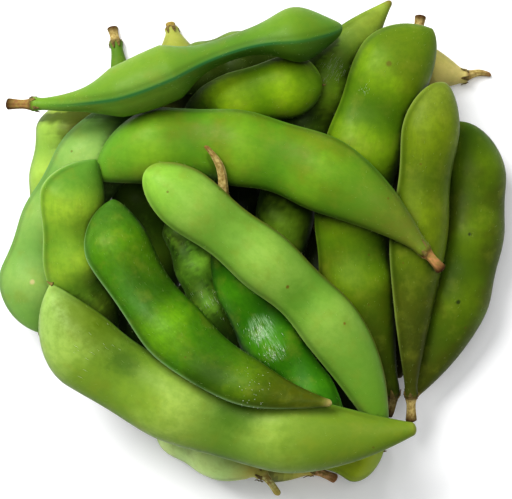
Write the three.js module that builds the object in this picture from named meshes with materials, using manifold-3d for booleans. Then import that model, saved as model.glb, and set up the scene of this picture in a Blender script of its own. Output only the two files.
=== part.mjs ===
// A bundle of edamame: fresh green soybean pods heaped on a table.
// Millimetres, +Z up, resting on z = 0, with the middle of the heap's box over the origin.
// Every pod grew in one piece with its stalk, so every pod is one closed solid.
// The pods lie loosely on each other: nothing is hinged, glued or tied.

import * as THREE from 'three';
import { mergeVertices } from 'three/addons/utils/BufferGeometryUtils.js';
import Module from 'manifold-3d';

// ---------------------------------------------------------------- a pod's own proportions
const stemRadius = 0.82;
const calyxSwell = 0.35; // the dry collar round the neck
const beakDrop = 0.45; // the beak sits towards the inner seam, as a share of the half width
const seamSharpness = 1.2; // above 1 pinches the section at its two seams
const stemBend = 1.6; // a curled stalk bends over this many times its own length
const snappedEnd = 0.004; // where a pod without a stalk begins, as a share of its length
const beanReach = 0.28; // length of one bean's bulge, shared out among the pod's beans

// where the beans sit along the body, as shares of its length
const two = [0.46, 0.8];
const three = [0.36, 0.61, 0.86];
const four = [0.29, 0.48, 0.67, 0.87];

// ---------------------------------------------------------------- how the solids are divided
const sides = 12;
const stemRings = [0.1, 0.45, 0.8, 1];
const bodyRings = 17;
const evenly = 0.45; // this share of the spacing is even, and the rest gathers the rings at the beak
const settleProbe = { stations: 44, count: 16 }; // points on a pod's skin while it settles
const layProbe = { stations: 160, count: 40 }; // and once it lies

// ---------------------------------------------------------------- how the pods settle
const gap = 0.3; // clear space left between two pods that touch
const flatDepth = 0.4; // how far the lowest pods are flattened where they meet the table
const cell = 0.5; // size of a square of the height map
const mapHalf = 64; // half the side of the height map
const maxTilt = 34; // degrees
const tiltStep = 2;
const rollStep = 4;
const sags = [-3, -2, -1, 0, 1, 2, 3]; // how far a pod may droop or arch at its middle

// ---------------------------------------------------------------- skin colours
const skins = {
  light: 0x8ab848,
  mid: 0x6f9f35,
  deep: 0x4c8a2c,
  olive: 0x7f9432,
};

// The pods from the lowest to the highest. Each lies in plan from its stalk's end to its beak.
// bow: how far the pod's middle line stands off the straight, to the left of that direction.
// sway: an S-bend on top of the bow. stem: the stalk's length, 0 where it has been snapped off.
// curl: how far the stalk's end is bent sideways and up. scar: how much thicker the stalk is at
// its end, where it left the plant. neck: radius where the body narrows into the stalk.
// roll: degrees about the long axis.
// rollPlay: how many degrees it may still roll either way as it settles.
// turn: degrees the seams stand round from lying flat, for a pod that lies on its edge.
// beans: where they sit along the body. plump: thickness as a share of the width.
// waist, pinch: how much narrower and thinner it is between two beans. taper, slim: the body
// reaches its full width this share of the way along, and a higher slim keeps the neck thin
// for longer.
// shoulder: where it begins to round off. beak: where the beak sits, to the left of the middle
// line, in half widths; unless it is given, it sits towards the inner, hollow side of the bow.
const pods = [
  // lying on the table
  {
    name: 'pod_01', stalk: [15.6, -43.6], tip: [-9, -35], bow: -0.8, width: 11,
    skin: 'light', stem: 5,
  },
  { name: 'pod_02', stalk: [11, 9], tip: [19, -33], bow: -1, width: 11.5, skin: 'mid' },
  { name: 'pod_03', stalk: [-36, -13], tip: [-32.4, 30], bow: 3, width: 13, skin: 'light' },
  {
    name: 'pod_04', stalk: [-28, 45.1], tip: [-16.6, -8.6], bow: -2, width: 11.5,
    skin: 'mid', stem: 3.4, curl: [-0.4, 0], taper: 0.5, slim: 1.5,
  },
  {
    name: 'pod_05', stalk: [-17, 45.8], tip: [-13.4, 16.4], bow: 0.5, width: 12.4,
    skin: 'light', stem: 1.4, beans: two, taper: 0.42, slim: 1.3,
  },
  {
    name: 'pod_06', stalk: [46, 33.4], tip: [6, 34], bow: -3, width: 11.5,
    skin: 'olive', stem: 5, curl: [-2, 0], scar: -0.2,
  },
  { name: 'pod_07', stalk: [27, -24], tip: [35.5, 21], bow: -1, width: 11, skin: 'olive', stem: 0 },
  { name: 'pod_08', stalk: [2.5, -29], tip: [-2.8, 17], bow: 1, width: 12, skin: 'deep', stem: 0 },
  {
    name: 'pod_09', stalk: [29.8, -27.4], tip: [39, 25], bow: -5.2, width: 12.5,
    skin: 'deep', stem: 0, taper: 0.42, slim: 1, shoulder: 0.78,
  },
  { name: 'pod_10', stalk: [-36, -18], tip: [-8, -12.5], bow: 1.5, width: 12, skin: 'mid' },
  { name: 'pod_11', stalk: [31.6, 45.5], tip: [22, 5], bow: 1, width: 11, skin: 'olive', stem: 5 },
  // held up by those below
  {
    name: 'pod_12', stalk: [5, -43.6], tip: [-19, -33.5], bow: -1.2, width: 11,
    skin: 'mid', stem: 3.5, curl: [3, 0], beans: two,
  },
  { name: 'pod_13', stalk: [-11, -28], tip: [24.4, -38.2], bow: -1, width: 11.5, skin: 'mid' },
  {
    name: 'pod_14', stalk: [25.7, 47.6], tip: [7, -2.5], bow: -5.6, width: 11.7,
    skin: 'light', stem: 0, neck: 0.5, taper: 0.3,
  },
  { name: 'pod_15', stalk: [0, -24], tip: [-12, 9.5], bow: 3.2, width: 11, skin: 'mid' },
  { name: 'pod_16', stalk: [-24, 30], tip: [8, 38.6], bow: 0, width: 11.5, skin: 'light' },
  { name: 'pod_17', stalk: [-15, 34], tip: [-41.5, -15.5], bow: -6.3, width: 14, skin: 'mid' },
  {
    name: 'pod_18', stalk: [-18, 19.5], tip: [12.5, 31], bow: 3.5, width: 12,
    skin: 'light', beans: two, beak: -0.15,
  },
  {
    name: 'pod_19', stalk: [29, -31.5], tip: [33.2, 41.5], bow: 12.4, width: 14.8,
    skin: 'mid', curl: [4.2, 0], beans: four, taper: 0.32, shoulder: 0.9,
  },
  {
    name: 'pod_20', stalk: [29.5, -32.5], tip: [35, 31], bow: 2.3, width: 11.6, skin: 'mid', stem: 5,
    beans: [0.53, 0.86], waist: 0.16, taper: 0.5, slim: 1.3, beak: -0.2,
  },
  {
    name: 'pod_21', stalk: [-24, -27], tip: [-29.8, 16.2], bow: 7.2, width: 12.4,
    skin: 'mid', beak: -0.7, shoulder: 0.88,
  },
  {
    name: 'pod_22', stalk: [34.5, -4.5], tip: [-30.2, 12.8], bow: -12, width: 14,
    skin: 'mid', beak: 0.7,
  },
  {
    name: 'pod_23', stalk: [-46.6, 26.7], tip: [16, 40.8], bow: -2.5, sway: -2.3,
    width: 12, skin: 'mid', stem: 5, beans: [0.29, 0.42, 0.86], plump: 0.88, turn: -48,
    taper: 0.38, slim: 1.4, waist: 0.32, pinch: 0.42, beak: 0.2,
  },
  {
    name: 'pod_24', stalk: [-6.6, 19.3], tip: [16, -32.5], bow: -7, width: 12,
    skin: 'deep', stem: 10, curl: [-2.8, 1.2], scar: -0.4,
  },
  {
    name: 'pod_25', stalk: [24, -36.5], tip: [-20.2, 13], bow: -6.2, sway: -1.1,
    width: 11.4, skin: 'light', stem: 0, waist: 0.1, taper: 0.3, beak: 0, shoulder: 0.87,
  },
  {
    name: 'pod_26', stalk: [29.2, -33.5], tip: [-38, -7], bow: 11.3, width: 14.6,
    skin: 'light', stem: 0, beans: [0.3, 0.6, 0.88], taper: 0.32, slim: 1, shoulder: 0.845, beak: -0.8,
  },
  {
    name: 'pod_27', stalk: [13.7, -29], tip: [-26.6, 8.6], bow: 9.4, sway: 0.5, width: 12.4,
    skin: 'mid', stem: 0, beans: [0.22, 0.54, 0.87], neck: 0.55, taper: 0.47, slim: 1.05, beak: -0.5,
    shoulder: 0.86,
  },
];

const common = {
  beans: three,
  plump: 0.68,
  sway: 0,
  stem: 4,
  curl: [0, 0],
  scar: 0.25,
  neck: 1,
  turn: 0,
  roll: 0,
  rollPlay: 16,
  waist: 0.06,
  pinch: 0.2,
  taper: 0.36,
  slim: 1.15,
  shoulder: 0.82,
};

function bell(x, middle, reach) {
  const away = (x - middle) / reach;
  return Math.exp(-away * away);
}

// How full the pod is at t along its body: 1 over a bean, falling towards 0 between two beans.
function fullness(t, beans) {
  let total = 0;
  for (const place of beans) {
    total += bell(t, place, beanReach / beans.length);
  }
  return Math.min(1, total);
}

// 1 along the body, rounding off to 0 at the beak.
function shoulder(pod, t) {
  const past = Math.max(0, (t - pod.shoulder) / (1 - pod.shoulder));
  return Math.sqrt(Math.max(0, 1 - past * past));
}

// The pod's middle line at a share `along` of its length, before the end moves to the beak.
function middleAt(pod, along) {
  let y = 4 * pod.bow * along * (1 - along);
  y += pod.sway * Math.sin(2 * Math.PI * along);
  y -= pod.beak * (pod.width / 2) * along ** 3;
  let z = 4 * pod.sag * along * (1 - along);
  if (pod.stem > 0) {
    const bend = Math.max(0, 1 - (along * pod.length) / (stemBend * pod.stem)) ** 2;
    y += pod.curl[0] * bend;
    z += pod.curl[1] * bend;
  }
  return { y, z };
}

// The section at a share `along` of the length: its two half sizes, and how far its middle
// has moved over towards the beak. round is 1 for a circle and above 1 where seams pinch.
function sectionAt(pod, along) {
  const stemShare = pod.stem / pod.length;
  if (along < stemShare) {
    const w = along / stemShare;
    const r = stemRadius + pod.scar * bell(w, 0, 0.35) + calyxSwell * bell(w, 1, 0.2);
    return { halfWidth: r, halfThick: r, moved: 0, round: 1 };
  }
  const t = (along - stemShare) / (1 - stemShare);
  const rise = Math.sin((Math.PI / 2) * Math.min(1, t / pod.taper)) ** pod.slim;
  const fall = shoulder(pod, t);
  const full = fullness(t, pod.beans);
  const collar = pod.stem > 0 ? calyxSwell * bell(t, 0, 0.02) : 0;
  const wide = (pod.width / 2) * (1 - pod.waist * (1 - full));
  const thick = (pod.width / 2) * pod.plump * (1 - pod.pinch * (1 - full));
  return {
    halfWidth: (pod.neck + collar + (wide - pod.neck) * rise) * fall,
    halfThick: (pod.neck + collar + (thick - pod.neck) * rise) * fall,
    moved: pod.beak * (pod.width / 2) * (1 - fall),
    round: 1 + (seamSharpness - 1) * rise,
  };
}

// One ring of points round the section, square to the middle line as seen from above.
function ringAt(pod, along, count) {
  const step = 0.01;
  const rise = middleAt(pod, along + step).y - middleAt(pod, along - step).y;
  const slope = rise / (2 * step * pod.length);
  const size = Math.hypot(1, slope);
  const middle = middleAt(pod, along);
  const section = sectionAt(pod, along);
  const turn = (pod.turn * Math.PI) / 180;
  const points = [];
  for (let i = 0; i < count; i += 1) {
    const angle = (2 * Math.PI * i) / count;
    const wide = section.halfWidth * Math.cos(angle);
    const sine = Math.sin(angle);
    const thick = section.halfThick * Math.sign(sine) * Math.abs(sine) ** section.round;
    const out = wide * Math.cos(turn) - thick * Math.sin(turn);
    const up = wide * Math.sin(turn) + thick * Math.cos(turn);
    points.push([
      along * pod.length - (out * slope) / size,
      middle.y + section.moved + out / size,
      middle.z + up,
    ]);
  }
  return points;
}

// Where the rings stand: close together on the stalk and towards the beak.
function ringPlaces(pod) {
  const stemShare = pod.stem / pod.length;
  const places = [];
  if (pod.stem > 0) {
    for (const w of stemRings) {
      places.push(w * stemShare);
    }
  } else {
    places.push(snappedEnd);
  }
  for (let i = 1; i <= bodyRings; i += 1) {
    const k = i / (bodyRings + 1);
    const t = evenly * k + (1 - evenly) * Math.sin((Math.PI / 2) * k);
    places.push(stemShare + (1 - stemShare) * t);
  }
  return places;
}

function rings(pod, count) {
  return ringPlaces(pod).map((along) => ringAt(pod, along, count));
}

function endPoints(pod) {
  const start = middleAt(pod, 0);
  return { start: [0, start.y, start.z], beak: [pod.length, 0, 0] };
}

// A closed skin over the rings, with one point at each end.
function podGeometry(pod) {
  const loops = rings(pod, sides);
  const { start, beak } = endPoints(pod);
  const points = [start];
  for (const loop of loops) {
    points.push(...loop);
  }
  points.push(beak);
  const last = points.length - 1;
  const faces = [];
  for (let i = 0; i < sides; i += 1) {
    const next = (i + 1) % sides;
    faces.push(0, 1 + next, 1 + i);
    faces.push(last, last - sides + i, last - sides + next);
  }
  for (let row = 0; row < loops.length - 1; row += 1) {
    for (let i = 0; i < sides; i += 1) {
      const a = 1 + row * sides + i;
      const b = 1 + row * sides + ((i + 1) % sides);
      faces.push(a, b, a + sides);
      faces.push(b, b + sides, a + sides);
    }
  }
  const geometry = new THREE.BufferGeometry();
  geometry.setAttribute('position', new THREE.Float32BufferAttribute(points.flat(), 3));
  geometry.setIndex(faces);
  return geometry;
}

// ---------------------------------------------------------------- settling the heap
// The height map holds the top of everything laid so far, on a square grid over the table.
const mapSide = Math.round((2 * mapHalf) / cell) + 1;

function mapIndex(x, y) {
  const column = Math.round((x + mapHalf) / cell);
  const row = Math.round((y + mapHalf) / cell);
  return row * mapSide + column;
}

// The pose carries the pod's own frame to the heap: roll about the length, then tilt, then turn.
// Tilting stretches the pod, so that its ends stay over the same two places on the table.
function poseMatrix(pod, tilt, roll, height) {
  const yaw = Math.atan2(pod.tip[1] - pod.stalk[1], pod.tip[0] - pod.stalk[0]);
  const stretch = new THREE.Matrix4().makeScale(1 / Math.cos(tilt), 1, 1);
  const turned = new THREE.Matrix4().makeRotationZ(yaw);
  turned.multiply(new THREE.Matrix4().makeRotationY(-tilt));
  turned.multiply(new THREE.Matrix4().makeRotationX(roll));
  turned.multiply(stretch);
  turned.setPosition(pod.stalk[0], pod.stalk[1], height);
  return turned;
}

function transformed(points, matrix) {
  const m = matrix.elements;
  const moved = new Float64Array(points.length);
  for (let i = 0; i < points.length; i += 3) {
    const x = points[i];
    const y = points[i + 1];
    const z = points[i + 2];
    moved[i] = m[0] * x + m[4] * y + m[8] * z + m[12];
    moved[i + 1] = m[1] * x + m[5] * y + m[9] * z + m[13];
    moved[i + 2] = m[2] * x + m[6] * y + m[10] * z + m[14];
  }
  return moved;
}

function skinPoints(pod, { stations, count }) {
  const points = [];
  for (let i = 1; i < stations; i += 1) {
    points.push(...ringAt(pod, i / stations, count).flat());
  }
  return new Float64Array(points);
}

function middleHeight(points) {
  let total = 0;
  for (let i = 2; i < points.length; i += 3) {
    total += points[i];
  }
  return total / (points.length / 3);
}

// How far up a pod must sit, in this tilt and roll, to clear everything below it.
function restHeight(points, map) {
  let height = -Infinity;
  for (let i = 0; i < points.length; i += 3) {
    const under = map[mapIndex(points[i], points[i + 1])];
    height = Math.max(height, under - points[i + 2]);
  }
  return height;
}

// The pod settles into the droop, tilt and roll that bring its middle lowest.
function settle(pod, map) {
  const radians = Math.PI / 180;
  let best = { level: Infinity };
  const tryPose = (sag, probe, tilt, roll) => {
    const moved = transformed(probe, poseMatrix(pod, tilt * radians, roll * radians, 0));
    const height = restHeight(moved, map);
    const level = height + middleHeight(moved);
    if (level < best.level - 1e-6) {
      best = { level, sag, probe, tilt, roll, height };
    }
  };
  const widest = pod.roll + pod.rollPlay;
  for (const sag of sags) {
    const probe = skinPoints({ ...pod, sag }, settleProbe);
    for (let tilt = -maxTilt; tilt <= maxTilt; tilt += tiltStep) {
      for (let roll = pod.roll - pod.rollPlay; roll <= widest; roll += rollStep) {
        tryPose(sag, probe, tilt, roll);
      }
    }
  }
  const near = best;
  for (let tilt = near.tilt - tiltStep; tilt <= near.tilt + tiltStep; tilt += tiltStep / 8) {
    for (let roll = near.roll - rollStep; roll <= near.roll + rollStep; roll += rollStep / 4) {
      tryPose(near.sag, near.probe, tilt, roll);
    }
  }
  pod.sag = best.sag;
  return poseMatrix(pod, best.tilt * radians, best.roll * radians, best.height);
}

// Raises the map to the top of a pod that has settled, with one square of margin all round.
function layOn(map, pod, pose) {
  const points = transformed(skinPoints(pod, layProbe), pose);
  for (let i = 0; i < points.length; i += 3) {
    const middle = mapIndex(points[i], points[i + 1]);
    for (let row = -1; row <= 1; row += 1) {
      for (let column = -1; column <= 1; column += 1) {
        const square = middle + row * mapSide + column;
        map[square] = Math.max(map[square], points[i + 2] + gap);
      }
    }
  }
}

// ---------------------------------------------------------------- the flats on the table
const wasm = await Module();
wasm.setup();

function toManifold(geometry) {
  return new wasm.Manifold(new wasm.Mesh({
    numProp: 3,
    vertProperties: geometry.attributes.position.array,
    triVerts: new Uint32Array(geometry.index.array),
  }));
}

function fromManifold(solid) {
  const mesh = solid.getMesh();
  const geometry = new THREE.BufferGeometry();
  geometry.setAttribute('position', new THREE.BufferAttribute(mesh.vertProperties, 3));
  geometry.setIndex(new THREE.BufferAttribute(mesh.triVerts, 1));
  return geometry;
}

// Cuts away what lies below the table, which leaves the small flat that the pod rests on.
function cutAtTable(geometry) {
  geometry.computeBoundingBox();
  const { min, max } = geometry.boundingBox;
  if (min.z >= 0) {
    return geometry;
  }
  const table = new THREE.BoxGeometry(max.x - min.x + 4, max.y - min.y + 4, 4);
  table.translate((min.x + max.x) / 2, (min.y + max.y) / 2, -2);
  table.deleteAttribute('normal');
  table.deleteAttribute('uv');
  return fromManifold(toManifold(geometry).subtract(toManifold(mergeVertices(table))));
}

// ---------------------------------------------------------------- the heap
const group = new THREE.Group();
group.name = 'edamame_pod_bundle';

const map = new Float64Array(mapSide * mapSide).fill(-flatDepth);
const heap = [];
for (const row of pods) {
  const length = Math.hypot(row.tip[0] - row.stalk[0], row.tip[1] - row.stalk[1]);
  const beak = row.bow < 0 ? beakDrop : -beakDrop;
  const pod = { beak, sag: 0, ...common, ...row, length };
  const pose = settle(pod, map);
  layOn(map, pod, pose);
  const geometry = podGeometry(pod);
  geometry.applyMatrix4(pose);
  heap.push({ pod, geometry: cutAtTable(geometry) });
}

const box = new THREE.Box3();
for (const { geometry } of heap) {
  geometry.computeBoundingBox();
  box.union(geometry.boundingBox);
}
const middle = box.getCenter(new THREE.Vector3());

for (const { pod, geometry } of heap) {
  geometry.translate(-middle.x, -middle.y, -box.min.z);
  const material = new THREE.MeshStandardMaterial({
    color: skins[pod.skin],
    roughness: 0.5,
    metalness: 0,
  });
  material.name = `${pod.skin}_pod_skin`;
  const mesh = new THREE.Mesh(geometry, material);
  mesh.name = pod.name;
  group.add(mesh);
}

export default group;
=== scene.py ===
import math

import bpy
import numpy as np
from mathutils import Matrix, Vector


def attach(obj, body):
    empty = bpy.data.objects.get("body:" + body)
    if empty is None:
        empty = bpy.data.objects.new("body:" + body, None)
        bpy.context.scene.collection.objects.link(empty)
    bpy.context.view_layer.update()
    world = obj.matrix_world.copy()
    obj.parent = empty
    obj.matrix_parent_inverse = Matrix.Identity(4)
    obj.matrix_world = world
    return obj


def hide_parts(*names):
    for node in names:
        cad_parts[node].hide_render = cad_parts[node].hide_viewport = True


# A heap of fresh edamame pods. Every pod is one surface swept along its own middle line, laid where
# its CAD solid lies, with its stalk, calyx and beak, and the down that grows on all of them. Sizes are
# millimetres and are turned into metres only when a mesh is made.
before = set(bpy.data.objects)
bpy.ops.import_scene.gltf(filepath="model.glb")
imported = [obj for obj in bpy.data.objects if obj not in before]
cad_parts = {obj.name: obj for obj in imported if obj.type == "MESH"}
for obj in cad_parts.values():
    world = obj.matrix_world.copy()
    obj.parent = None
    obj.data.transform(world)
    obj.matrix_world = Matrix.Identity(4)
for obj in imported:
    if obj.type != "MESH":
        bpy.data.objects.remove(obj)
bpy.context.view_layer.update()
mm = 0.001

# A pod's own proportions, the same as those of the CAD solids.
form = dict(
    stemRadius=0.82,
    calyxSwell=0.35,       # the dry collar round the neck
    beakDrop=0.45,         # the beak sits towards the inner seam, in half widths
    seamSharpness=1.2,     # above 1 pinches the section at its two seams
    beanReach=0.28,        # length of one bean's bulge, shared out among the beans
    stemBend=1.6,          # a curled stalk bends over this many times its own length
    collarReach=0.02,      # how far the collar runs onto the body, as a share of its length
    stalkCollar=0.2,       # and back onto the stalk, as a share of the stalk
    stalkEnd=0.35,         # how far the swelling at the stalk's outer end runs
    snappedEnd=0.004,      # where a pod without a stalk begins, as a share of its length
    evenly=0.45,           # share of the ring spacing that is even, in the CAD solid
    stemRings=(0.1, 0.45, 0.8, 1.0),
    bodyRings=17,
    sides=12,
)

# Where the beans sit along the body, as shares of its length.
two = (0.46, 0.8)
three = (0.36, 0.61, 0.86)
four = (0.29, 0.48, 0.67, 0.87)

common = dict(beans=three, plump=0.68, sway=0, stem=4, curl=(0, 0), scar=0.25, neck=1, turn=0,
              waist=0.06, pinch=0.2, taper=0.36, slim=1.15, shoulder=0.82)

# The pods from the lowest to the highest, laid in plan from stalk end to beak.
pods = [
    dict(name="pod_01", stalk=(15.6, -43.6), tip=(-9, -35), bow=-0.8, width=11, skin="light", stem=5),
    dict(name="pod_02", stalk=(11, 9), tip=(19, -33), bow=-1, width=11.5, skin="mid"),
    dict(name="pod_03", stalk=(-36, -13), tip=(-32.4, 30), bow=3, width=13, skin="light"),
    dict(name="pod_04", stalk=(-28, 45.1), tip=(-16.6, -8.6), bow=-2, width=11.5, skin="mid",
         stem=3.4, curl=(-0.4, 0), taper=0.5, slim=1.5),
    dict(name="pod_05", stalk=(-17, 45.8), tip=(-13.4, 16.4), bow=0.5, width=12.4, skin="light",
         stem=1.4, beans=two, taper=0.42, slim=1.3),
    dict(name="pod_06", stalk=(46, 33.4), tip=(6, 34), bow=-3, width=11.5, skin="olive", stem=5,
         curl=(-2, 0), scar=-0.2),
    dict(name="pod_07", stalk=(27, -24), tip=(35.5, 21), bow=-1, width=11, skin="olive", stem=0),
    dict(name="pod_08", stalk=(2.5, -29), tip=(-2.8, 17), bow=1, width=12, skin="deep", stem=0),
    dict(name="pod_09", stalk=(29.8, -27.4), tip=(39, 25), bow=-5.2, width=12.5, skin="deep", stem=0,
         taper=0.42, slim=1, shoulder=0.78),
    dict(name="pod_10", stalk=(-36, -18), tip=(-8, -12.5), bow=1.5, width=12, skin="mid"),
    dict(name="pod_11", stalk=(31.6, 45.5), tip=(22, 5), bow=1, width=11, skin="olive", stem=5),
    dict(name="pod_12", stalk=(5, -43.6), tip=(-19, -33.5), bow=-1.2, width=11, skin="mid", stem=3.5,
         curl=(3, 0), beans=two),
    dict(name="pod_13", stalk=(-11, -28), tip=(24.4, -38.2), bow=-1, width=11.5, skin="mid"),
    dict(name="pod_14", stalk=(25.7, 47.6), tip=(7, -2.5), bow=-5.6, width=11.7, skin="light", stem=0,
         neck=0.5, taper=0.3),
    dict(name="pod_15", stalk=(0, -24), tip=(-12, 9.5), bow=3.2, width=11, skin="mid"),
    dict(name="pod_16", stalk=(-24, 30), tip=(8, 38.6), bow=0, width=11.5, skin="light"),
    dict(name="pod_17", stalk=(-15, 34), tip=(-41.5, -15.5), bow=-6.3, width=14, skin="mid"),
    dict(name="pod_18", stalk=(-18, 19.5), tip=(12.5, 31), bow=3.5, width=12, skin="light", beans=two,
         beak=-0.15),
    dict(name="pod_19", stalk=(29, -31.5), tip=(33.2, 41.5), bow=12.4, width=14.8, skin="mid",
         curl=(4.2, 0), beans=four, taper=0.32, shoulder=0.9),
    dict(name="pod_20", stalk=(29.5, -32.5), tip=(35, 31), bow=2.3, width=11.6, skin="mid", stem=5,
         beans=(0.53, 0.86), waist=0.16, taper=0.5, slim=1.3, beak=-0.2),
    dict(name="pod_21", stalk=(-24, -27), tip=(-29.8, 16.2), bow=7.2, width=12.4, skin="mid",
         beak=-0.7, shoulder=0.88),
    dict(name="pod_22", stalk=(34.5, -4.5), tip=(-30.2, 12.8), bow=-12, width=14, skin="mid", beak=0.7),
    dict(name="pod_23", stalk=(-46.6, 26.7), tip=(16, 40.8), bow=-2.5, sway=-2.3, width=12,
         skin="mid", stem=5, beans=(0.29, 0.42, 0.86), plump=0.88, turn=-48, taper=0.38, slim=1.4,
         waist=0.32, pinch=0.42, beak=0.2),
    dict(name="pod_24", stalk=(-6.6, 19.3), tip=(16, -32.5), bow=-7, width=12, skin="deep", stem=10,
         curl=(-2.8, 1.2), scar=-0.4),
    dict(name="pod_25", stalk=(24, -36.5), tip=(-20.2, 13), bow=-6.2, sway=-1.1, width=11.4,
         skin="light", stem=0, waist=0.1, taper=0.3, beak=0, shoulder=0.87),
    dict(name="pod_26", stalk=(29.2, -33.5), tip=(-38, -7), bow=11.3, width=14.6, skin="light",
         stem=0, beans=(0.3, 0.6, 0.88), taper=0.32, slim=1, shoulder=0.845, beak=-0.8),
    dict(name="pod_27", stalk=(13.7, -29), tip=(-26.6, 8.6), bow=9.4, sway=0.5, width=12.4, skin="mid",
         stem=0, beans=(0.22, 0.54, 0.87), neck=0.55, taper=0.47, slim=1.05, beak=-0.5, shoulder=0.86),
]

# What the fine surface adds to that form.
detail = dict(
    columns=64,            # points round the section, gathered towards the seams
    gather=0.2,
    stalkRows=16,
    bodyRows=96,
    beakRows=22,
    capRows=4,             # the rounded end of the stalk or of a snapped neck
    capLength=0.5,
    seamHeight=0.15,       # each seam is a fine raised cord with a groove along it
    seamWidth=0.4,
    grooveDepth=0.1,
    grooveWidth=0.13,
    dent=0.9,              # the skin sinks in between two beans
    lump=0.14,             # uneven swelling of the skin
    lumpLength=11.0,       # and how far apart the swellings are
    lumpWaves=5,
    beakFade=0.05,         # the relief dies out over this last share of the body
    stalkRib=0.05,         # dry ribs along the stalk
    stalkRibs=7,
    ribTwist=9,
)

# How each pod looks. tone: the skin over its beans, shade: the skin round them, neck: towards the
# stalk, end: towards the beak, seam and rim: the seams on the left and right of the way it points,
# patch: old or bruised skin, cord: how wide the rim's colour reaches, snap: a broken neck,
# nib: how long the dried style is, reach: how far the neck's colour goes, cut: the ends of the stalk,
# foldShade: the colour of the shade painted in the dents between two beans, hook: how far the stalk
# bends aside, thin: its outer end's girth, husk: the dry stalk, under: 1 or -1 for the side of a
# pod lying on edge that is painted in shade.
looks = {
    # Painted light: pod_01, pod_12 and pod_13 lie in the shade of pod_26 and have paler tones to make up
    # for it.
    "pod_01": dict(tone="e4e470", shade="c8d45c", neck="d8c468", end="9cac40", seam="93a551", rim="6b7a30",
                   thin=0.85, cut="9a6c44", husk="dcb080"),
    # Painted shade: pod_02, pod_07, pod_08 and pod_10 lie deep under the others and have darker tones.
    "pod_02": dict(tone="3c5c16", shade="28420f", neck="54581c", end="365214", seam="4a6424", rim="304a18"),
    "pod_03": dict(tone="acca58", shade="86ae46", neck="94983a", end="a0a434", seam="a4c05c", rim="648834"),
    "pod_04": dict(tone="98c436", shade="689a24", neck="5a7c2a", end="44601a", seam="66803a", rim="425c20"),
    "pod_05": dict(tone="acb850", shade="8a9434", neck="b0b458", end="808c34", seam="b3b464", rim="8a843a",
                   cut="a08a48"),
    "pod_06": dict(tone="e4dc80", shade="ccc46c", neck="dccc84", end="a8b048", seam="b8b266", rim="948a44",
                   thin=0.75, hook=-0.7, cut="8c6844"),
    "pod_07": dict(tone="4e5418", shade="363f10", neck="60561e", end="424a16", seam="5c6428", rim="3a3f14"),
    "pod_08": dict(tone="20360e", shade="142408", neck="444618", end="283f10", seam="3a521c", rim="24360f"),
    "pod_09": dict(tone="688214", shade="46600e", neck="4e5416", end="4a6a16", seam="5c7a2c", rim="40541a",
                   patch="525a14", reach=0.3),
    "pod_10": dict(tone="587c24", shade="3a5c1a", neck="646a24", end="446420", seam="587430", rim="3a521c"),
    "pod_11": dict(tone="8a8a34", shade="687022", neck="a2943e", end="70782a", seam="98984c", rim="74702e"),
    "pod_12": dict(tone="dcf49c", shade="bcdc88", neck="c0b458", end="c8e088", seam="9cb866", rim="5c8038",
                   thin=0.6, cut="a89a50", husk="dce0a0"),
    "pod_13": dict(tone="b4c430", shade="9cb42c", neck="a0a83c", end="94ac38", seam="8c9c40", rim="647426"),
    "pod_14": dict(tone="8cb42c", shade="4e6e1c", neck="9cb044", end="48681e", seam="88a448", rim="587830"),
    "pod_15": dict(tone="94cc40", shade="3c6c18", neck="58742a", end="4c7428", seam="74964a", rim="466a2c"),
    "pod_16": dict(tone="7c9a34", shade="546e1c", neck="6c7830", end="58742a", seam="93a04c", rim="4a642a"),
    "pod_17": dict(tone="9cbc62", shade="70a04a", neck="6c9638", end="84b44e", seam="a2c676", rim="5c8c40"),
    "pod_18": dict(tone="a0c21e", shade="4c7c10", neck="5e7c22", end="7ca424", seam="98b848", rim="588424"),
    "pod_19": dict(tone="8aac1c", shade="466c10", neck="4e5c12", end="6c861e", seam="809a36", rim="4e661c",
                   patch="6a7a16", reach=0.5),
    "pod_20": dict(tone="7e9418", shade="445a12", neck="4a4e16", end="8a9c36", seam="96aa54", rim="4e6828",
                   patch="646c18", reach=0.55),
    "pod_21": dict(tone="a6c63e", shade="528624", neck="688426", end="64963a", seam="9abc60", rim="50782c"),
    "pod_22": dict(tone="82aa2a", shade="52861c", neck="70782a", end="6ca032", seam="8c9a54", rim="5c8c38",
                   patch="70801c", nib=0.7, reach=0.35, husk="c08c5c"),
    "pod_23": dict(tone="80a036", shade="628e2e", neck="78a034", end="5a8a2c", seam="3f7430", rim="26663a",
                   cord=0.42, husk="946c44", cut="381e0c", under=-1),
    "pod_24": dict(tone="569614", shade="1e5a08", neck="46701a", end="3a7416", seam="5c9a34", rim="2c641a",
                   hook=1.3, cut="8a6c3a"),
    "pod_25": dict(tone="98bc52", shade="689a30", neck="74a030", end="96c648", seam="aaca6c", rim="76702c",
                   cord=0.9),
    "pod_26": dict(tone="a2bc54", shade="64882c", neck="728a26", end="a8c86c", seam="aac876", rim="5c8434",
                   patch="7c9a2c", nib=0.9, reach=0.4, foldShade="3e5c10", snap="8a9438"),
    "pod_27": dict(tone="6c9e16", shade="2c520a", neck="565c10", end="52802a", seam="94b87e", rim="3c6c2c",
                   patch="4c8414", snap="b8a86a", reach=0.45),
}
plain = dict(cord=0.42, snap="7a6630", nib=0.6, reach=0.28, cut="452810", foldShade="2f5210", hook=0, thin=1,
             husk="ccb878", under=0)
# Beaks that have lost their dried style.
for name in ("pod_09", "pod_14", "pod_19", "pod_20", "pod_21", "pod_23", "pod_25", "pod_27"):
    looks[name].setdefault("nib", 0)
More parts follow.
